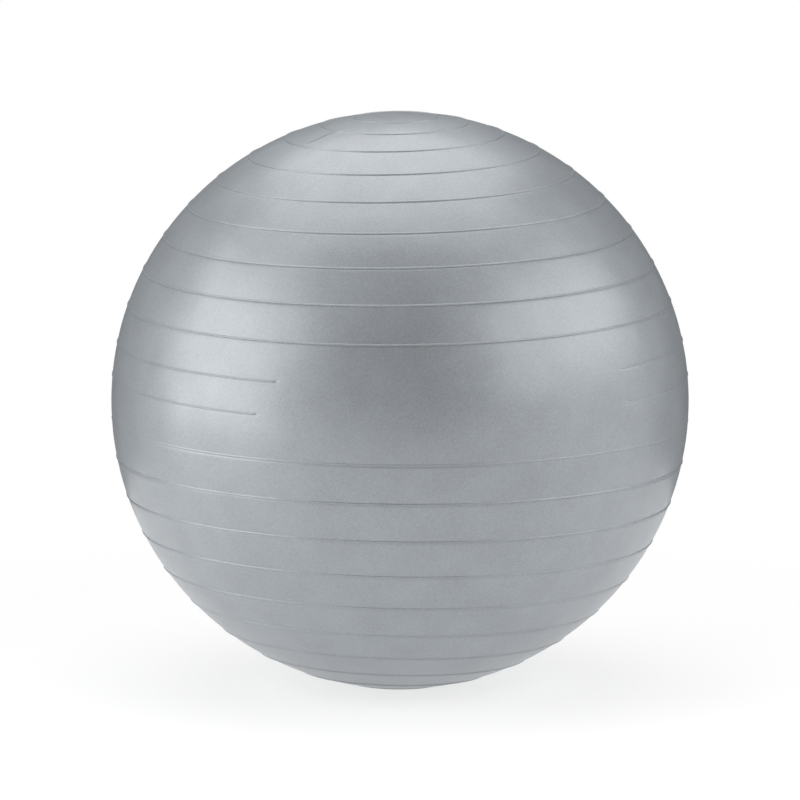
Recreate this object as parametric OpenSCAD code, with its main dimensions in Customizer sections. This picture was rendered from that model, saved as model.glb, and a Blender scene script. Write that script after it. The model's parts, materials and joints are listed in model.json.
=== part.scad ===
// Inflated exercise ball with raised rings, a bonded valve seat and a push-in plug.
// Millimetres, +Z up. The origin is the middle of the flat where the ball rests on the
// floor. The plain panel faces -Y, and the valve is at the back, on the +Y side.

/* [Ball] */
// Diameter across the smooth bands, when inflated
ball_d = 650; // [550:10:850]
// Thickness of the skin
skin_t = 0.8; // [0.6:0.1:2]
// Diameter of the flat where the ball rests on the floor
floor_patch_d = 72; // [50:1:100]

/* [Rings] */
// Angle from one ring to the next, up the side of the ball
ring_pitch = 7.95; // [7:0.05:12]
// Angle by which that grows from ring to ring below the equator
ring_growth = 0.14; // [0:0.01:0.3]
// Angle of the second ring above the equator
ring_second = 12.1; // [11:0.1:14]
// Angle of the first ring above the equator
ring_first = 5.4; // [4:0.1:7]
// Angle of the first ring below the equator
ring_under = 3.35; // [3.3:0.05:6]
// Width of a ring where it meets the skin
ring_w = 4.6; // [3:0.1:7]
// Height of a ring above the skin
ring_h = 1; // [0.5:0.1:1.5]
// Angle around each pole that holds no ring
pole_clear = 5.5; // [4:0.5:12]

/* [Plain panel] */
// Rings above the equator that are broken by the panel
panel_rings = 2; // [0:1:4]
// Angle from the front to the left end of the panel, at its lowest ring
panel_left = 29.5; // [15:0.5:60]
// Angle by which that end moves in from one broken ring to the next
panel_step = 4; // [0:0.5:6]
// Angle from the front to the right end of the panel
panel_right = 50.5; // [15:0.5:80]

/* [Valve seat] */
// Diameter of the round land that shows in the skin
land_d = 22; // [21:0.5:26]
// Diameter of the pad bonded behind the skin
pad_d = 34; // [30:0.5:40]
// Thickness of the pad at its edge
pad_t = 2.5; // [2:0.1:5]
// Outer diameter of the tube that grips the plug
tube_d = 14; // [12:0.5:18]
// Length of the tube behind the pad
tube_l = 18; // [14:0.5:26]
// Diameter of the air hole
bore_d = 8; // [6:0.5:9]
// Chamfer at both ends of the air hole
bore_chamfer = 0.6; // [0.2:0.1:1]
// Gap between the land and the edge of the skin's hole
land_gap = 0.15; // [0.1:0.05:0.5]
// Bond line between the pad and the skin
bond_gap = 0.25; // [0.1:0.05:0.5]

/* [Valve plug] */
// Diameter of the head
head_d = 16; // [14:0.5:18]
// Thickness of the head at its edge
head_t = 1.4; // [1:0.1:2]
// Gap around the head, for a puller or a fingernail
head_gap = 0.8; // [0.4:0.1:1.2]
// Length of the stem under the head
stem_l = 19; // [12:0.5:24]
// Running gap between the stem's ribs and the air hole
stem_gap = 0.05; // [0.02:0.01:0.1]
// Ribs on the stem
rib_count = 3; // [1:1:5]
// Height of a rib above the stem
rib_h = 0.5; // [0.2:0.1:1]
// Length of a rib along the stem, slope and flat together
rib_l = 2.2; // [1:0.1:2.4]
// Length of the tapered tip
tip_l = 3; // [1:0.5:5]
// Diameter of the stem's end
tip_d = 4; // [2:0.5:5]

/* [Hidden] */

ball_r = ball_d / 2;
cavity_r = ball_r - skin_t;
patch_r = floor_patch_d / 2;
// Height of the ball's centre over the floor, and the flat's depth under that centre
centre_z = sqrt(ball_r * ball_r - patch_r * patch_r);

// A ring is the cap of a circle of radius ring_arc_r that stands ring_h out of the skin
ring_arc_r = ring_w * ring_w / (8 * ring_h) + ring_h / 2;
ring_path_r = ball_r + ring_h - ring_arc_r;
// Rings are numbered up from 0, the first one above the equator, and down from -1
function low_angle(k) = ring_under + k * ring_pitch + ring_growth * k * (k - 1) / 2;
function ring_angle(i) =
    i < 0 ? -low_angle(-i - 1) : i == 0 ? ring_first : ring_second + (i - 1) * ring_pitch;
most_rings = ceil(90 / ring_pitch) + 1;
rings = [for (i = [-most_rings : most_rings]) if (abs(ring_angle(i)) <= 90 - pole_clear) i];
function is_broken(i) = i >= 0 && i < panel_rings;

land_r = land_d / 2;
bore_r = bore_d / 2;
head_r = head_d / 2;
tip_r = tip_d / 2;
rib_r = bore_r - stem_gap;
stem_r = rib_r - rib_h;
// Distances from the ball's centre along the valve's axis
head_edge_z = sqrt(ball_r * ball_r - head_r * head_r);
head_seat_z = head_edge_z - head_t;
pad_front_r = cavity_r - bond_gap;
pad_back_z = sqrt(pad_front_r * pad_front_r - pad_d * pad_d / 4) - pad_t;
tube_end_z = pad_back_z - tube_l;
stem_end_z = head_seat_z - stem_l;
rib_pitch = (stem_l - tip_l - rib_l) / rib_count;

ball_fn = 256;
valve_fn = 96;
over = 1;

// Puts what is drawn about the ball's centre at its height over the floor
module at_centre() {
    translate([0, 0, centre_z]) children();
}

// Turns the drawing axis +Z to the valve's axis, out through the back of the ball
module on_valve_axis() {
    at_centre() rotate([-90, 0, 0]) children();
}

module ring_dot(angle) {
    rotate(angle) translate([ring_path_r, 0]) circle(r = ring_arc_r, $fn = 64);
}

// The half-plane that is revolved, from the level of a flat upwards
module above(level) {
    translate([0, level]) square([ball_r + ring_h + over, ball_r + ring_h + over - level]);
}

// Outline of the ball with its whole rings, flat at the floor
module ball_outline() {
    intersection() {
        union() {
            circle(r = ball_r, $fn = ball_fn);
            for (i = rings) if (!is_broken(i)) ring_dot(ring_angle(i));
        }
        above(-centre_z);
    }
}

module cavity_outline() {
    intersection() {
        circle(r = cavity_r, $fn = ball_fn);
        above(-centre_z + skin_t);
    }
}

// A ring that runs round the back, from the panel's right end to its left end
module broken_ring(angle, left, right) {
    rotate_extrude(angle = 360 - left - right, start = right - 90, $fn = ball_fn) ring_dot(angle);
}

module ball_skin() {
    color([0.63, 0.65, 0.67]) difference() {
        at_centre() union() {
            rotate_extrude($fn = ball_fn) ball_outline();
            for (i = rings)
                if (is_broken(i))
                    broken_ring(ring_angle(i), panel_left - i * panel_step, panel_right);
        }
        at_centre() rotate_extrude($fn = ball_fn) cavity_outline();
        on_valve_axis() translate([0, 0, pad_back_z])
            cylinder(r = land_r + land_gap, h = ball_r - pad_back_z + over, $fn = valve_fn);
    }
}

module valve_seat() {
    color([0.55, 0.57, 0.6]) on_valve_axis() difference() {
        union() {
            intersection() {
                translate([0, 0, pad_back_z]) cylinder(d = pad_d, h = ball_r, $fn = valve_fn);
                sphere(r = pad_front_r, $fn = ball_fn);
            }
            intersection() {
                translate([0, 0, pad_back_z]) cylinder(r = land_r, h = ball_r, $fn = valve_fn);
                sphere(r = ball_r, $fn = ball_fn);
            }
            translate([0, 0, tube_end_z]) cylinder(d = tube_d, h = tube_l, $fn = valve_fn);
        }
        translate([0, 0, tube_end_z - over])
            cylinder(r = bore_r, h = ball_r - tube_end_z + 2 * over, $fn = valve_fn);
        translate([0, 0, head_seat_z])
            cylinder(r = head_r + head_gap, h = ball_r - head_seat_z + over, $fn = valve_fn);
        translate([0, 0, head_seat_z - bore_chamfer])
            cylinder(r1 = bore_r, r2 = bore_r + bore_chamfer, h = bore_chamfer, $fn = valve_fn);
        translate([0, 0, tube_end_z])
            cylinder(r1 = bore_r + bore_chamfer, r2 = bore_r, h = bore_chamfer, $fn = valve_fn);
    }
}

// A rib slopes up from the tip's side, so that it goes in easily and holds
module stem_rib() {
    rotate_extrude($fn = valve_fn)
        polygon([[0, 0], [stem_r, 0], [rib_r, 0.7 * rib_l], [rib_r, rib_l], [0, rib_l]]);
}

module valve_plug() {
    color([0.9, 0.9, 0.88]) on_valve_axis() union() {
        intersection() {
            translate([0, 0, head_seat_z]) cylinder(r = head_r, h = 2 * head_t, $fn = valve_fn);
            sphere(r = ball_r, $fn = ball_fn);
        }
        translate([0, 0, stem_end_z + tip_l])
            cylinder(r = stem_r, h = stem_l - tip_l + head_t / 2, $fn = valve_fn);
        translate([0, 0, stem_end_z]) cylinder(r1 = tip_r, r2 = stem_r, h = tip_l, $fn = valve_fn);
        for (i = [0 : rib_count - 1])
            translate([0, 0, stem_end_z + tip_l + i * rib_pitch]) stem_rib();
    }
}

ball_skin();
valve_seat();
valve_plug();
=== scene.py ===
import json
import math
import bmesh
import bpy
from mathutils import Matrix, Vector


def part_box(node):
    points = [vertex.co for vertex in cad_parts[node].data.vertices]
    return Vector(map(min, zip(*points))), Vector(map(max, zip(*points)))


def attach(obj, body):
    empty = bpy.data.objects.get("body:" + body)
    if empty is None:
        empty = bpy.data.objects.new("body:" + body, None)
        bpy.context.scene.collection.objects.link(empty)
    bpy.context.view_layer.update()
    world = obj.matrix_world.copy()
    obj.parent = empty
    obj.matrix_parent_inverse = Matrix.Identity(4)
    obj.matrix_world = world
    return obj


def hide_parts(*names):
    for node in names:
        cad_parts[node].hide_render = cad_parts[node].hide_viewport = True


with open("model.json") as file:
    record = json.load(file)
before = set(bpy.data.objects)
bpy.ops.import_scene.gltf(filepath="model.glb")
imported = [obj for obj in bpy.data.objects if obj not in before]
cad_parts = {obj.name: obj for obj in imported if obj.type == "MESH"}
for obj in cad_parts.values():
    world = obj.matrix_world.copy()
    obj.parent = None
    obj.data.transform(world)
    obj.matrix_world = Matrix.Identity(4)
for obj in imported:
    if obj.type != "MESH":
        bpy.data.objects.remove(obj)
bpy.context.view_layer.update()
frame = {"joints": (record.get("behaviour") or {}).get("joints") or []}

# Places that every piece shares, in metres
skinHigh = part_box("ball_skin")[1]
seatLow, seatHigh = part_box("valve_seat")
plugLow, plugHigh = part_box("valve_plug")
centreHeight = (seatLow.z + seatHigh.z) / 2
ballRadius = skinHigh.z - centreHeight
plugAxis = Vector(next(j for j in frame["joints"] if j["name"] == "plug_pull")["axis"])
print("frame loaded: ball radius", round(ballRadius, 4), "centre height", round(centreHeight, 4))


# Helpers for node trees and meshes

def socketOrValue(tree, target, value):
    # links a socket to the target, or writes a plain value into it
    if isinstance(value, (int, float, tuple)):
        target.default_value = value
    else:
        tree.links.new(value, target)


def calc(tree, operation, *values):
    node = tree.nodes.new("ShaderNodeMath")
    node.operation = operation
    for target, value in zip(node.inputs, values):
        socketOrValue(tree, target, value)
    return node.outputs[0]


def remap(tree, value, low, high, toLow, toHigh, kind="SMOOTHSTEP"):
    node = tree.nodes.new("ShaderNodeMapRange")
    node.interpolation_type = kind
    for name, v in (("Value", value), ("From Min", low), ("From Max", high),
                    ("To Min", toLow), ("To Max", toHigh)):
        socketOrValue(tree, node.inputs[name], v)
    return node.outputs[0]


def makeTree(name, settings):
    # every setting becomes a named input of the tree, with its value as the default
    tree = bpy.data.node_groups.new(name, "GeometryNodeTree")
    for label, value in settings.items():
        kind = "NodeSocketInt" if isinstance(value, int) else "NodeSocketFloat"
        tree.interface.new_socket(label, in_out="INPUT", socket_type=kind).default_value = value
    tree.interface.new_socket("Material", in_out="INPUT", socket_type="NodeSocketMaterial")
    tree.interface.new_socket("Geometry", in_out="OUTPUT", socket_type="NodeSocketGeometry")
    return tree


def meshFromTree(name, tree, settings, material):
    # runs the tree on an empty mesh and keeps the result as a plain mesh object
    holder = bpy.data.objects.new(name + "Maker", bpy.data.meshes.new(name + "Start"))
    bpy.context.scene.collection.objects.link(holder)
    modifier = holder.modifiers.new("shape", "NODES")
    modifier.node_group = tree
    values = dict(settings, Material=material)
    for item in tree.interface.items_tree:
        if item.in_out == "INPUT" and item.name in values:
            modifier[item.identifier] = values[item.name]
    graph = bpy.context.evaluated_depsgraph_get()
    mesh = bpy.data.meshes.new_from_object(holder.evaluated_get(graph))
    holder.modifiers.remove(modifier)
    bpy.data.objects.remove(holder)
    mesh.name = name
    piece = bpy.data.objects.new(name, mesh)
    bpy.context.scene.collection.objects.link(piece)
    return piece


def makeMaterial(name):
    material = bpy.data.materials.new(name)
    material.use_nodes = True
    nodes = material.node_tree.nodes
    shader = nodes["Principled BSDF"]
    coords = nodes.new("ShaderNodeTexCoord").outputs["Object"]
    return material, material.node_tree, shader, coords


def vectorCalc(tree, operation, *values):
    node = tree.nodes.new("ShaderNodeVectorMath")
    node.operation = operation
    for target, value in zip(node.inputs, values):
        socketOrValue(tree, target, value)
    return node.outputs["Value" if operation in ("DOT_PRODUCT", "LENGTH") else "Vector"]


def direction(azimuth, elevation):
    # in degrees: azimuth 0 is the front, + is right
    a, e = math.radians(azimuth), math.radians(elevation)
    return Vector((math.sin(a) * math.cos(e), -math.cos(a) * math.cos(e), math.sin(e)))


def noise(tree, coords, size, detail=2.0, rough=0.5, w=None):
    # a noise whose features are about size metres wide
    node = tree.nodes.new("ShaderNodeTexNoise")
    if w is not None:
        node.noise_dimensions = "4D"
        node.inputs["W"].default_value = w
    tree.links.new(coords, node.inputs["Vector"])
    node.inputs["Scale"].default_value = 1 / size
    node.inputs["Detail"].default_value = detail
    node.inputs["Roughness"].default_value = rough
    return node.outputs[0]


def addBump(tree, height, distance, strength=1.0, under=None):
    node = tree.nodes.new("ShaderNodeBump")
    node.inputs["Strength"].default_value = strength
    node.inputs["Distance"].default_value = distance
    tree.links.new(height, node.inputs["Height"])
    if under is not None:
        tree.links.new(under, node.inputs["Normal"])
    return node.outputs[0]


def tint(tree, colour, amount, factor):
    # colour made lighter or darker by the amount, as the factor goes from 0 to 1
    node = tree.nodes.new("ShaderNodeMix")
    node.data_type = "RGBA"
    tree.links.new(factor, node.inputs[0])
    node.inputs[6].default_value = tuple(c * (1 - amount) for c in colour) + (1,)
    node.inputs[7].default_value = tuple(c * (1 + amount) for c in colour) + (1,)
    return node.outputs[2]


# Materials

skinLook = {
    "colour": (0.334, 0.358, 0.381),  # cool silver grey
    "metallic": 0.415,
    "ior": 1.6,                       # pearl flakes make the plastic reflect more than plain PVC
    "roughness": (0.46, 0.55),        # lowest and highest, with the grain
    "coat": 0.35,                     # clear film on top
    "coatRoughness": 0.16,
    "grainSize": 0.002,               # width of the pearl grain
    "grainTint": 0.38,
    "grainHeight": 0.00015,
    "cloudSize": 0.05,                # slow changes of tone
    "cloudShare": 0.3,
    # a small fold near the top: azimuth and latitude of both its ends, half its width, its height
    "foldStart": (-56.8, 67.3),
    "foldEnd": (-53.2, 76.5),
    "foldWidth": 0.003,
    "foldHeight": 0.0032,
}


def ridgeBetween(tree, coords, start, end, width):
    # 1 on the line between two places on the ball, down to 0 at its ends and at the width from it
    centre = Vector((0, 0, centreHeight))
    first = centre + direction(*start) * ballRadius
    line = centre + direction(*end) * ballRadius - first
    fromFirst = vectorCalc(tree, "SUBTRACT", coords, tuple(first))
    share = vectorCalc(tree, "DOT_PRODUCT", fromFirst, tuple(line / line.length_squared))
    share = calc(tree, "MINIMUM", calc(tree, "MAXIMUM", share, 0), 1)
    nearest = vectorCalc(tree, "MULTIPLY", share, tuple(line))
    away = vectorCalc(tree, "LENGTH", vectorCalc(tree, "SUBTRACT", fromFirst, nearest))
    taper = calc(tree, "SINE", calc(tree, "MULTIPLY", share, math.pi))
    return calc(tree, "MULTIPLY", remap(tree, away, 0, width, 1, 0), taper)


def makeSkinMaterial():
    s = skinLook
    material, tree, shader, coords = makeMaterial("pearlSkin")
    grain = noise(tree, coords, s["grainSize"], 3.0, 0.6)
    clouds = noise(tree, coords, s["cloudSize"], 3.0)
    grainPart = calc(tree, "MULTIPLY", grain, 1 - s["cloudShare"])
    mixed = calc(tree, "ADD", grainPart, calc(tree, "MULTIPLY", clouds, s["cloudShare"]))
    tree.links.new(tint(tree, s["colour"], s["grainTint"], mixed), shader.inputs["Base Color"])
    tree.links.new(remap(tree, grain, 0.3, 0.7, *s["roughness"], "LINEAR"), shader.inputs["Roughness"])
    bump = addBump(tree, grain, s["grainHeight"])
    fold = ridgeBetween(tree, coords, s["foldStart"], s["foldEnd"], s["foldWidth"])
    bump = addBump(tree, fold, s["foldHeight"], under=bump)
    tree.links.new(bump, shader.inputs["Normal"])
    tree.links.new(bump, shader.inputs["Coat Normal"])
    shader.inputs["Metallic"].default_value = s["metallic"]
    shader.inputs["IOR"].default_value = s["ior"]
    shader.inputs["Coat Weight"].default_value = s["coat"]
    shader.inputs["Coat Roughness"].default_value = s["coatRoughness"]
    return material


seatLook = {
    "colour": (0.27, 0.285, 0.3),     # grey, a little darker than the skin
    "metallic": 0.2,
    "roughness": (0.35, 0.5),
    "grainSize": 0.0015,
    "grainTint": 0.08,
    "grainHeight": 0.00004,
}


def makeSeatMaterial():
    s = seatLook
    material, tree, shader, coords = makeMaterial("seatRubber")
    grain = noise(tree, coords, s["grainSize"], 3.0)
    tree.links.new(tint(tree, s["colour"], s["grainTint"], grain), shader.inputs["Base Color"])
    tree.links.new(remap(tree, grain, 0.3, 0.7, *s["roughness"]), shader.inputs["Roughness"])
    tree.links.new(addBump(tree, grain, s["grainHeight"]), shader.inputs["Normal"])
    shader.inputs["Metallic"].default_value = s["metallic"]
    return material


plugLook = {
    "colour": (0.74, 0.74, 0.71),     # off-white
    "mottleSize": 0.004,
    "mottleTint": 0.04,
    "scuffSize": 0.0006,
    "scuffHeight": 0.00003,
    "roughness": (0.38, 0.52),
    "lightInside": 0.15,              # soft plastic lets some light in, this far for each colour
    "lightReach": (0.002, 0.002, 0.0016),
}


def makePlugMaterial():
    s = plugLook
    material, tree, shader, coords = makeMaterial("plugPlastic")
    mottle = noise(tree, coords, s["mottleSize"], 3.0)
    scuff = noise(tree, coords, s["scuffSize"], 2.0)
    tree.links.new(tint(tree, s["colour"], s["mottleTint"], mottle), shader.inputs["Base Color"])
    tree.links.new(remap(tree, scuff, 0.3, 0.7, *s["roughness"]), shader.inputs["Roughness"])
    tree.links.new(addBump(tree, scuff, s["scuffHeight"]), shader.inputs["Normal"])
    shader.inputs["Subsurface Weight"].default_value = s["lightInside"]
    shader.inputs["Subsurface Radius"].default_value = s["lightReach"]
    return material


skinMaterial = makeSkinMaterial()
seatMaterial = makeSeatMaterial()
plugMaterial = makePlugMaterial()
print("materials made")


# Ball skin

skin = {
    "Ball Radius": ballRadius,
    "Centre Height": centreHeight,
    "Wall": 0.00095,
    "Ring Pitch": 7.95,               # degrees from ring to ring
    "Ring Growth": 0.14,              # more degrees from ring to ring, down from the equator
    "Ring Second": 12.1,              # latitudes of the rings next to the equator
    "Ring First": 5.4,
    "Ring Under": 3.55,
    "Top Draw": 0.45,                 # draws the last rings away from the top pole
    "Ring Height": 0.0008,
    "Ring Under Height": 0.0004,      # of the ring just under the equator
    "Ring Low Height": 0.001,         # and of those far below it
    "Ring Above": 0.0015,             # from a ring's crest to its upper foot
    "Ring Below": 0.001,              # and down to the crease under it
    "Ring Flank": 2.0,                # 1 for a straight flank, more for a rounder crest
    "Top Share": 0.3,                 # how much of the crease is left near the top pole
    "Crease Depth": 0.0004,           # of the groove under each ring
    "Crease Low Depth": 0.00065,      # far below the equator
    "Crease Width": 0.0013,           # from the crease back to the plain skin
    "End Pit Depth": 0.00068,         # where a broken ring ends
    "End Pit Size": 0.0026,
    "Pole Clear": 5.5,                # degrees round each pole without rings
    "Panel Rings": 2,                 # rings above the equator that stop at the plain panel
    "Panel Left": 29.5,               # degrees from the front to the panel's left end
    "Panel Step": 4.0,                # less at each ring up
    "Panel Right": 50.5,
    "End Length": 0.3,                # degrees over which a broken ring ends
    "Uneven Stretch": 0.03,           # how much wider the bands are on the right than in front
    "Uneven Tilt": 0.2,               # degrees by which the rings lean down to the right
    "Band Bulge": 0.0001,
    "Wave Height": 0.0001,
    "Wave Size": 0.09,
    "Seed": 7.0,
    "Hole Radius": 0.01115,           # for the valve seat
    "Hole Depth": 0.03,
    "Hole Sides": 64,
    "Columns": 200,
    "Rows Per Band": 20,
    "Inner Columns": 128,
    "Inner Rows": 64,
}


def makeSkinTree():
    tree = makeTree("ballSkinShape", skin)
    nodes, link = tree.nodes, tree.links.new
    given = nodes.new("NodeGroupInput").outputs
    deg = math.radians(1)

    def c(operation, *values):
        return calc(tree, operation, *values)

    radius, pitch = given["Ball Radius"], c("MULTIPLY", given["Ring Pitch"], deg)

    def clamped(value):
        return c("MINIMUM", c("MAXIMUM", value, 0), 1)

    def past(number, start):
        return c("MAXIMUM", c("SUBTRACT", number, start), 0)

    def latitudeOf(number):
        # rings are numbered up from 0, the first one above the equator, and down from -1
        first, under, step = given["Ring First"], given["Ring Under"], given["Ring Pitch"]
        toSecond = c("SUBTRACT", given["Ring Second"], first)
        up = c("ADD", first, c("MULTIPLY", toSecond, clamped(number)))
        up = c("ADD", up, c("MULTIPLY", step, past(number, 1)))
        up = c("SUBTRACT", up, c("MULTIPLY", given["Top Draw"], c("POWER", past(number, 8), 2)))
        below = c("MULTIPLY", number, -1)
        k = past(below, 1)
        toUnder = c("MULTIPLY", c("ADD", first, under), clamped(below))
        halfGrowth = c("MULTIPLY", given["Ring Growth"], 0.5)
        growth = c("MULTIPLY", halfGrowth, c("MULTIPLY", k, c("SUBTRACT", k, 1)))
        down = c("ADD", c("ADD", toUnder, c("MULTIPLY", step, k)), growth)
        return c("MULTIPLY", c("SUBTRACT", up, down), deg)

    # a grid whose rows run just past both poles, where they are held at the pole
    firstRow, lastRow = -11.5, 11.5
    grid = nodes.new("GeometryNodeMeshGrid")
    link(c("ADD", given["Columns"], 1), grid.inputs["Vertices X"])
    rows = c("ROUND", c("MULTIPLY", given["Rows Per Band"], lastRow - firstRow))
    link(c("ADD", rows, 1), grid.inputs["Vertices Y"])
    place = nodes.new("ShaderNodeSeparateXYZ")
    link(nodes.new("GeometryNodeInputPosition").outputs[0], place.inputs[0])

    # each ring has a row at its crest, at both feet and ringRows - 1 between them and the crest,
    # and the other rows spread out over the band
    ringRows, spread = 4, 2.6
    along = remap(tree, place.outputs["Y"], -0.5, 0.5, firstRow, lastRow, "LINEAR")
    ring = c("ROUND", along)
    part = c("SUBTRACT", along, ring)
    row = c("MULTIPLY", c("ABSOLUTE", part), given["Rows Per Band"])
    above = c("GREATER_THAN", part, 0)
    wider = c("SUBTRACT", given["Ring Above"], given["Ring Below"])
    side = c("ADD", given["Ring Below"], c("MULTIPLY", above, wider))
    half = c("DIVIDE", side, c("MULTIPLY", radius, pitch))
    upRing = c("SINE", c("MULTIPLY", c("MINIMUM", row, ringRows), math.pi / 2 / ringRows))
    pastRing = remap(tree, row, ringRows, c("MULTIPLY", given["Rows Per Band"], 0.5), 0, 1, "LINEAR")
    pastRing = c("MULTIPLY", c("POWER", pastRing, spread), c("SUBTRACT", 0.5, half))
    offset = c("MULTIPLY", c("SIGN", part), c("ADD", c("MULTIPLY", upRing, half), pastRing))
    number = c("ADD", ring, offset)
    quarter = math.pi / 2
    lat = c("MAXIMUM", c("MINIMUM", latitudeOf(number), quarter), -quarter)
    ringLat = latitudeOf(ring)

    # longitude from the front, with the columns drawn together by up to pull where rings break
    inward = c("MULTIPLY", given["Panel Step"], remap(tree, number, 0.25, 0.75, 0, 1))
    leftEnd = c("MULTIPLY", c("SUBTRACT", given["Panel Left"], inward), -deg)
    rightEnd = c("MULTIPLY", given["Panel Right"], deg)
    pull, drawn = 6 * deg, 6.3 * deg
    stretch = 1 + 2 * pull / math.pi
    even = c("MULTIPLY", place.outputs["X"], 2 * math.pi)
    turn = c("MULTIPLY", even, stretch)
    for end, shift in ((leftEnd, -pull), (rightEnd, pull)):
        beyond = c("SUBTRACT", even, c("DIVIDE", c("ADD", end, shift), stretch))
        turn = c("SUBTRACT", turn, c("MULTIPLY", c("TANH", c("DIVIDE", beyond, drawn)), pull))

    # a ring is a low bead with a crease under it, both changing from some rings to others,
    # and there is no ring at the poles
    farDown, notFarDown = -5, -2
    rise = remap(tree, ring, farDown, notFarDown, given["Ring Low Height"], given["Ring Height"], "LINEAR")
    under = c("COMPARE", ring, -1, 0.5)
    rise = c("ADD", rise, c("MULTIPLY", under, c("SUBTRACT", given["Ring Under Height"], rise)))
    upper, top = 6, 9
    topShare = remap(tree, ring, upper, top, 1, given["Top Share"], "LINEAR")
    crease = remap(tree, ring, farDown, notFarDown,
                   given["Crease Low Depth"], given["Crease Depth"], "LINEAR")
    crease = c("MULTIPLY", c("MULTIPLY", crease, topShare), c("SUBTRACT", 1, above))
    fromCrest = c("MINIMUM", c("ABSOLUTE", c("DIVIDE", offset, half)), 1)
    fall = c("MULTIPLY", c("POWER", fromCrest, given["Ring Flank"]), c("ADD", rise, crease))
    away = c("MULTIPLY", c("MULTIPLY", c("ABSOLUTE", offset), pitch), radius)
    backOut = remap(tree, c("SUBTRACT", away, side), 0, given["Crease Width"], 0, crease)
    bead = c("ADD", c("SUBTRACT", rise, fall), backOut)
    hasRing = c("LESS_THAN", c("ABSOLUTE", ringLat),
                c("MULTIPLY", c("SUBTRACT", 90.001, given["Pole Clear"]), deg))

    # two rings stop at the panel, each end with a small pit
    endLength = c("MULTIPLY", given["End Length"], deg)
    ringInward = c("MULTIPLY", ring, given["Panel Step"])
    ringLeft = c("MULTIPLY", c("SUBTRACT", given["Panel Left"], ringInward), -deg)
    pastLeft = remap(tree, turn, c("SUBTRACT", ringLeft, endLength), ringLeft, 0, 1)
    beforeRight = remap(tree, turn, rightEnd, c("ADD", rightEnd, endLength), 1, 0)
    stops = c("MULTIPLY", c("GREATER_THAN", ring, -0.5),
              c("LESS_THAN", ring, c("SUBTRACT", given["Panel Rings"], 0.5)))
    broken = c("MULTIPLY", c("MULTIPLY", pastLeft, beforeRight), stops)
    toLeft = c("ABSOLUTE", c("SUBTRACT", turn, ringLeft))
    toEnd = c("MULTIPLY", c("MINIMUM", toLeft, c("ABSOLUTE", c("SUBTRACT", turn, rightEnd))), radius)
    fromEnd = c("SQRT", c("ADD", c("POWER", toEnd, 2), c("POWER", away, 2)))
    pit = c("MULTIPLY", remap(tree, fromEnd, 0, given["End Pit Size"], given["End Pit Depth"], 0), stops)
    beadHeight = c("MULTIPLY", c("MULTIPLY", bead, hasRing), c("SUBTRACT", 1, broken))
    beadHeight = c("SUBTRACT", beadHeight, pit)

    # the blown-up skin has stretched a little more on the right, so its rings fan out there
    tilt = c("MULTIPLY", given["Uneven Tilt"], deg)
    uneven = c("SUBTRACT", c("MULTIPLY", lat, given["Uneven Stretch"]), tilt)
    fade = c("SUBTRACT", 1, c("POWER", c("ABSOLUTE", c("DIVIDE", lat, quarter)), 4))
    lat = c("ADD", lat, c("MULTIPLY", c("MULTIPLY", uneven, fade), c("SINE", turn)))

    # each band bulges a little between its rings, and the whole skin waves slightly
    flat = nodes.new("ShaderNodeCombineXYZ")
    link(c("MULTIPLY", c("SINE", turn), c("COSINE", lat)), flat.inputs["X"])
    link(c("MULTIPLY", c("MULTIPLY", c("COSINE", turn), c("COSINE", lat)), -1), flat.inputs["Y"])
    link(c("SINE", lat), flat.inputs["Z"])
    wave = nodes.new("ShaderNodeTexNoise")
    wave.noise_dimensions = "4D"
    link(flat.outputs[0], wave.inputs["Vector"])
    link(given["Seed"], wave.inputs["W"])
    link(c("DIVIDE", radius, given["Wave Size"]), wave.inputs["Scale"])
    wave.inputs["Detail"].default_value = 1.0
    waveHeight = c("MULTIPLY", c("SUBTRACT", wave.outputs[0], 0.5), c("MULTIPLY", given["Wave Height"], 2))
    fromMiddle = c("MULTIPLY", c("SUBTRACT", 0.5, c("ABSOLUTE", offset)), math.pi)
    bulge = c("MULTIPLY", c("POWER", c("COSINE", fromMiddle), 2), given["Band Bulge"])
    smallForms = c("ADD", waveHeight, c("SUBTRACT", bulge, given["Band Bulge"]))
    reach = c("ADD", c("ADD", radius, beadHeight), smallForms)
    outer = nodes.new("ShaderNodeVectorMath")
    outer.operation = "SCALE"
    link(flat.outputs[0], outer.inputs[0])
    link(reach, outer.inputs["Scale"])

    def onFloor(position, lift):
        # nothing reaches below the floor, plus lift, and the centre moves up to its height
        split = nodes.new("ShaderNodeSeparateXYZ")
        join = nodes.new("ShaderNodeCombineXYZ")
        link(position, split.inputs[0])
        link(split.outputs["X"], join.inputs["X"])
        link(split.outputs["Y"], join.inputs["Y"])
        height = c("ADD", split.outputs["Z"], given["Centre Height"])
        link(c("MAXIMUM", height, lift), join.inputs["Z"])
        return join.outputs[0]

    def moved(geometry, position):
        node = nodes.new("GeometryNodeSetPosition")
        link(geometry, node.inputs["Geometry"])
        link(position, node.inputs["Position"])
        return node.outputs[0]

    # the outer skin is closed at the poles, and the inner skin and the valve's hole are cut out of it
    outside = nodes.new("GeometryNodeMergeByDistance")
    link(moved(grid.outputs["Mesh"], onFloor(outer.outputs[0], 0)), outside.inputs["Geometry"])
    outside.inputs["Distance"].default_value = 0.00001

    inner = nodes.new("GeometryNodeMeshUVSphere")
    link(given["Inner Columns"], inner.inputs["Segments"])
    link(given["Inner Rows"], inner.inputs["Rings"])
    link(c("SUBTRACT", radius, given["Wall"]), inner.inputs["Radius"])
    innerPlace = nodes.new("GeometryNodeInputPosition").outputs[0]
    inside = moved(inner.outputs["Mesh"], onFloor(innerPlace, given["Wall"]))

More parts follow.
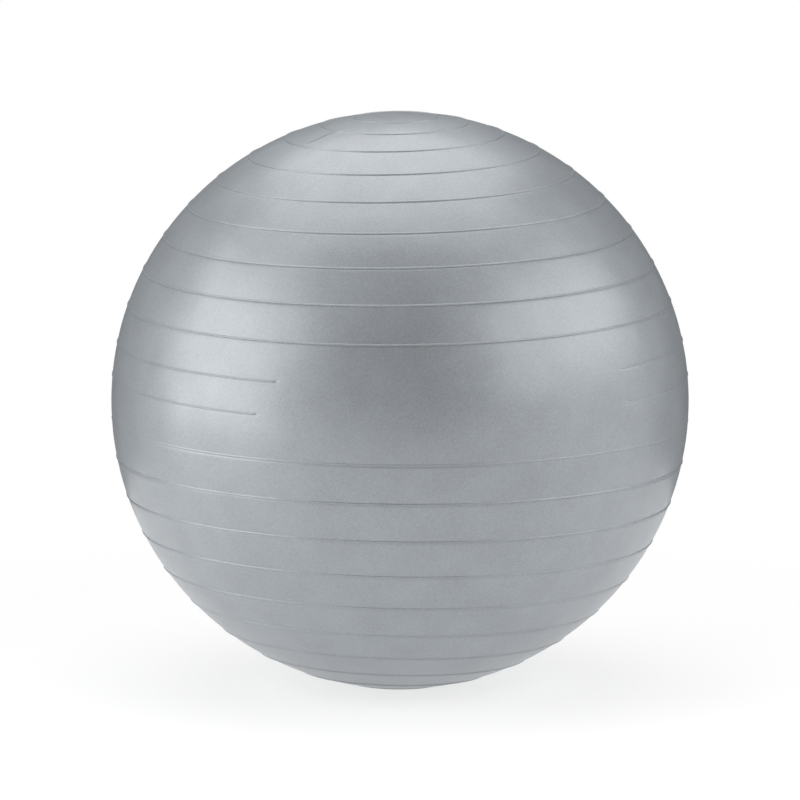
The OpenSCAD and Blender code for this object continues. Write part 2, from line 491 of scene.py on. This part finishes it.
    hole = nodes.new("GeometryNodeMeshCylinder")
    link(given["Hole Sides"], hole.inputs["Vertices"])
    link(given["Hole Radius"], hole.inputs["Radius"])
    link(given["Hole Depth"], hole.inputs["Depth"])
    turned = nodes.new("GeometryNodeTransform")
    link(hole.outputs["Mesh"], turned.inputs["Geometry"])
    spot = nodes.new("ShaderNodeCombineXYZ")
    link(radius, spot.inputs["Y"])
    link(given["Centre Height"], spot.inputs["Z"])
    link(spot.outputs[0], turned.inputs["Translation"])
    turned.inputs["Rotation"].default_value = (math.pi / 2, 0, 0)

    shell = nodes.new("GeometryNodeMeshBoolean")
    shell.operation = "DIFFERENCE"
    shell.solver = "MANIFOLD"
    link(outside.outputs[0], shell.inputs[0])
    link(turned.outputs[0], shell.inputs[1])
    link(inside, shell.inputs[1])

    smooth = nodes.new("GeometryNodeSetShadeSmooth")
    link(shell.outputs[0], smooth.inputs["Geometry"])
    real = nodes.new("GeometryNodeRealizeInstances")
    link(smooth.outputs[0], real.inputs["Geometry"])
    paint = nodes.new("GeometryNodeSetMaterial")
    link(real.outputs[0], paint.inputs["Geometry"])
    link(given["Material"], paint.inputs["Material"])
    link(paint.outputs[0], nodes.new("NodeGroupOutput").inputs[0])
    return tree


ballSkin = meshFromTree("ballSkin", makeSkinTree(), skin, skinMaterial)
ballSkin.data.set_sharp_from_angle(angle=math.radians(60))
print("ball skin:", len(ballSkin.data.polygons), "faces")
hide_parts("ball_skin")
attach(ballSkin, "ball")


# Valve seat and plug, turned shapes on the valve's axis

def turnedPiece(name, outline, material, segments=72, edge=0.0002):
    # outline: (radius, distance from the ball's centre) once round the solid's half section
    mesh = bmesh.new()
    corners = [mesh.verts.new((r, 0, d)) for r, d in outline]
    sides = [mesh.edges.new((a, b)) for a, b in zip(corners, corners[1:] + corners[:1])]
    bmesh.ops.spin(mesh, geom=corners + sides, cent=(0, 0, 0), axis=(0, 0, 1),
                   angle=2 * math.pi, steps=segments, use_merge=True)
    bmesh.ops.remove_doubles(mesh, verts=mesh.verts, dist=0.000005)
    bmesh.ops.dissolve_degenerate(mesh, edges=mesh.edges, dist=0.000001)
    lone = [e for e in mesh.edges if not e.link_faces]
    bmesh.ops.delete(mesh, geom=lone, context="EDGES")
    bmesh.ops.recalc_face_normals(mesh, faces=mesh.faces)
    turnedUp = Vector((0, 0, 1)).rotation_difference(plugAxis).to_matrix().to_4x4()
    toValve = Matrix.Translation((0, 0, centreHeight)) @ turnedUp
    bmesh.ops.transform(mesh, matrix=toValve, verts=mesh.verts)
    made = bpy.data.meshes.new(name)
    mesh.to_mesh(made)
    mesh.free()
    made.materials.append(material)
    piece = bpy.data.objects.new(name, made)
    bpy.context.scene.collection.objects.link(piece)
    rounded = piece.modifiers.new("rounded", "BEVEL")
    rounded.width = edge
    rounded.segments = 2
    rounded.limit_method = "ANGLE"
    rounded.angle_limit = math.radians(25)
    for face in made.polygons:
        face.use_smooth = True
    made.set_sharp_from_angle(angle=math.radians(50))
    return piece


seat = {
    "landRadius": 0.011,       # of the round face that shows in the skin
    "padRadius": 0.017,
    "padBack": 0.321,          # distance of the pad's back from the ball's centre
    "tubeRadius": 0.007,
    "tubeEnd": seatLow.y,
    "boreRadius": 0.004,
    "mouthRadius": 0.0088,     # recess for the plug's head
    "wall": 0.00105,           # skin and bond in front of the pad
    "chamfer": 0.0006,         # at both ends of the bore
}
plug = {
    "headRadius": (plugHigh.x - plugLow.x) / 2,
    "headThickness": 0.0014,
    "ribRadius": 0.00395,
    "ribHeight": 0.0005,
    "ribCount": 3,
    "ribLength": 0.0022,
    "ribSlope": 0.7,           # share of a rib's length that slopes
    "tipLength": 0.003,
    "tipRadius": 0.002,
    "end": plugLow.y,
    "rimWidth": 0.0012,        # raised rim round the head
    "rimSlope": 0.0006,
    "dishDepth": 0.0003,
    "markRadius": 0.0012,      # moulding mark in the middle of the dish
    "markSlope": 0.0004,
}
headEdge = math.sqrt(ballRadius ** 2 - plug["headRadius"] ** 2)
headSeat = headEdge - plug["headThickness"]


def atRadius(r, sphere=ballRadius):
    # the point of a sphere round the ball's centre at this distance from the valve's axis
    return (r, math.sqrt(sphere ** 2 - r ** 2))


def seatOutline():
    s = seat
    front = ballRadius - s["wall"]
    return [
        (s["boreRadius"] + s["chamfer"], s["tubeEnd"]),
        (s["tubeRadius"], s["tubeEnd"]),
        (s["tubeRadius"], s["padBack"]),
        (s["padRadius"], s["padBack"]),
        atRadius(s["padRadius"], front),
        atRadius(s["landRadius"], front),
        atRadius(s["landRadius"]),
        atRadius(s["mouthRadius"]),
        (s["mouthRadius"], headSeat),
        (s["boreRadius"] + s["chamfer"], headSeat),
        (s["boreRadius"], headSeat - s["chamfer"]),
        (s["boreRadius"], s["tubeEnd"] + s["chamfer"]),
    ]


def plugOutline():
    p = plug
    stem = p["ribRadius"] - p["ribHeight"]
    tipTop = p["end"] + p["tipLength"]
    pitch = (headSeat - tipTop - p["ribLength"]) / p["ribCount"]
    apart = 0.00002    # from the tip's top to the first rib, so that no two points are the same
    outline = [(0, p["end"]), (p["tipRadius"], p["end"]), (stem, tipTop)]
    for i in range(p["ribCount"]):
        low = tipTop + i * pitch
        outline += [
            (stem, low + apart),
            (p["ribRadius"], low + p["ribSlope"] * p["ribLength"]),
            (p["ribRadius"], low + p["ribLength"]),
            (stem, low + p["ribLength"]),
        ]
    outline += [(stem, headSeat), (p["headRadius"], headSeat), (p["headRadius"], headEdge)]
    rim, mark = atRadius(p["headRadius"] - p["rimWidth"]), p["markRadius"]
    dish, markTop = rim[1] - p["dishDepth"], rim[1] - p["dishDepth"] / 3
    outline += [rim, (rim[0] - p["rimSlope"], dish)]
    outline += [(mark + p["markSlope"], dish), (mark, markTop), (0, markTop)]
    return outline


valveSeat = turnedPiece("valveSeat", seatOutline(), seatMaterial)
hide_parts("valve_seat")
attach(valveSeat, "ball")
valvePlug = turnedPiece("valvePlug", plugOutline(), plugMaterial)
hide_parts("valve_plug")
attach(valvePlug, "plug")
print("valve seat and plug made")


# Floor, lamps, world and camera

stageLook = {
    "floorSize": 120.0,
    "floorColour": (0.88, 0.88, 0.88),
    "floorWhite": 0.6,       # share of plain white that the camera sees in the floor
    "mirrorWhite": 0.91,     # and of that, how much reflections see
    "nearWhite": 0.35,       # distances between which the floor turns all white
    "farWhite": 1.0,
    "floorGlow": 0.287,      # light that the floor adds
    "worldLevel": 0.092,
    "lamps": {
        # name: (azimuth, elevation, distance, width, height, brightness)
        "leftSoftbox": (-75.5, 18.8, 2.4, 2.67, 2.2, 2.98),
        "rightSoftbox": (74.3, 27.0, 2.4, 3.255, 1.642, 2.48),
    },
    # overhead panel: height above the ball's centre, its left, right, front and back edge, brightness
    "overhead": (1.656, -1.147, 0.947, -0.542, 1.864, 2.01),
    # dark screens that stand behind the ball, for reflections: azimuth, width, height
    "screens": {"leftScreen": (-144.6, 2.25, 1.06), "rightScreen": (146, 1.656, 1.44)},
    "screenDistance": 0.958,
}


def stageSheet(name, corners, material):
    mesh = bpy.data.meshes.new(name)
    mesh.from_pydata(corners, [], [(0, 1, 2, 3)])
    mesh.materials.append(material)
    sheet = bpy.data.objects.new(name, mesh)
    bpy.context.scene.collection.objects.link(sheet)
    return sheet


def makeFloor():
    s = stageLook
    material = bpy.data.materials.new("paleFloor")
    material.use_nodes = True
    tree = material.node_tree
    tree.nodes.clear()
    lit = tree.nodes.new("ShaderNodeBsdfDiffuse")
    lit.inputs["Color"].default_value = s["floorColour"] + (1,)
    white = tree.nodes.new("ShaderNodeEmission")
    path = tree.nodes.new("ShaderNodeLightPath").outputs
    mirrored = calc(tree, "MAXIMUM", path["Is Glossy Ray"], path["Is Transmission Ray"])
    mirrored = calc(tree, "MULTIPLY", mirrored, s["mirrorWhite"])
    seen = calc(tree, "MAXIMUM", path["Is Camera Ray"], mirrored)
    far = vectorCalc(tree, "LENGTH", tree.nodes.new("ShaderNodeTexCoord").outputs["Object"])
    share = remap(tree, far, s["nearWhite"], s["farWhite"], s["floorWhite"], 1)
    both = tree.nodes.new("ShaderNodeMixShader")
    tree.links.new(calc(tree, "MULTIPLY", seen, share), both.inputs[0])
    tree.links.new(white.outputs[0], both.inputs[2])
    glow = tree.nodes.new("ShaderNodeEmission")
    glow.inputs["Strength"].default_value = s["floorGlow"]
    litGlow = tree.nodes.new("ShaderNodeAddShader")
    tree.links.new(lit.outputs[0], litGlow.inputs[0])
    tree.links.new(glow.outputs[0], litGlow.inputs[1])
    tree.links.new(litGlow.outputs[0], both.inputs[1])
    tree.links.new(both.outputs[0], tree.nodes.new("ShaderNodeOutputMaterial").inputs[0])
    h = s["floorSize"] / 2
    stageSheet("floor", [(-h, -h, 0), (h, -h, 0), (h, h, 0), (-h, h, 0)], material)


def makeScreens():
    material, tree, shader, coords = makeMaterial("darkScreen")
    shader.inputs["Base Color"].default_value = (0.03, 0.03, 0.03, 1)
    shader.inputs["Roughness"].default_value = 1
    for name, (azimuth, width, height) in stageLook["screens"].items():
        middle = direction(azimuth, 0) * stageLook["screenDistance"]
        side = Vector((-middle.y, middle.x, 0)).normalized() * width / 2
        top = Vector((0, 0, height))
        corners = [middle - side, middle + side, middle + side + top, middle - side + top]
        screen = stageSheet(name, corners, material)
        screen.visible_camera = False


def addLamp(name, place, back, width, height, level):
    # back points away from what the lamp shines on
    data = bpy.data.lights.new(name, "AREA")
    data.shape = "RECTANGLE"
    data.size, data.size_y = width, height
    data.energy = level * math.pi * width * height
    lamp = bpy.data.objects.new(name, data)
    lamp.location = place
    lamp.rotation_euler = back.to_track_quat("Z", "Y").to_euler()
    lamp.visible_camera = False
    bpy.context.scene.collection.objects.link(lamp)


def makeLamps():
    centre = Vector((0, 0, centreHeight))
    for name, (azimuth, elevation, distance, *size) in stageLook["lamps"].items():
        back = direction(azimuth, elevation)
        addLamp(name, centre + back * distance, back, *size)
    above, left, right, front, rear, level = stageLook["overhead"]
    place = centre + Vector(((left + right) / 2, (front + rear) / 2, above))
    addLamp("overhead", place, Vector((0, 0, 1)), right - left, rear - front, level)


def makeWorld():
    world = bpy.data.worlds.new("studio")
    world.use_nodes = True
    back = world.node_tree.nodes["Background"]
    back.inputs["Color"].default_value = (1, 1, 1, 1)
    back.inputs["Strength"].default_value = stageLook["worldLevel"]
    bpy.context.scene.world = world


view = {
    "elevation": 9.4,
    "distanceInRadii": 45,
    "share": 0.7218,          # ball radius as a share of half the picture
}


def makeCamera():
    data = bpy.data.cameras.new("camera")
    data.sensor_width = 36
    distance = view["distanceInRadii"] * ballRadius
    spread = 1 / math.sqrt(view["distanceInRadii"] ** 2 - 1)
    data.lens = view["share"] * data.sensor_width / 2 / spread
    data.clip_start, data.clip_end = 0.1, 400
    camera = bpy.data.objects.new("camera", data)
    back = direction(0, view["elevation"])
    camera.location = Vector((0, 0, centreHeight)) + back * distance
    camera.rotation_euler = back.to_track_quat("Z", "Y").to_euler()
    bpy.context.scene.collection.objects.link(camera)
    bpy.context.scene.camera = camera


makeFloor()
makeScreens()
makeLamps()
makeWorld()
makeCamera()
bpy.context.scene.view_settings.view_transform = "Standard"
print("stage ready")
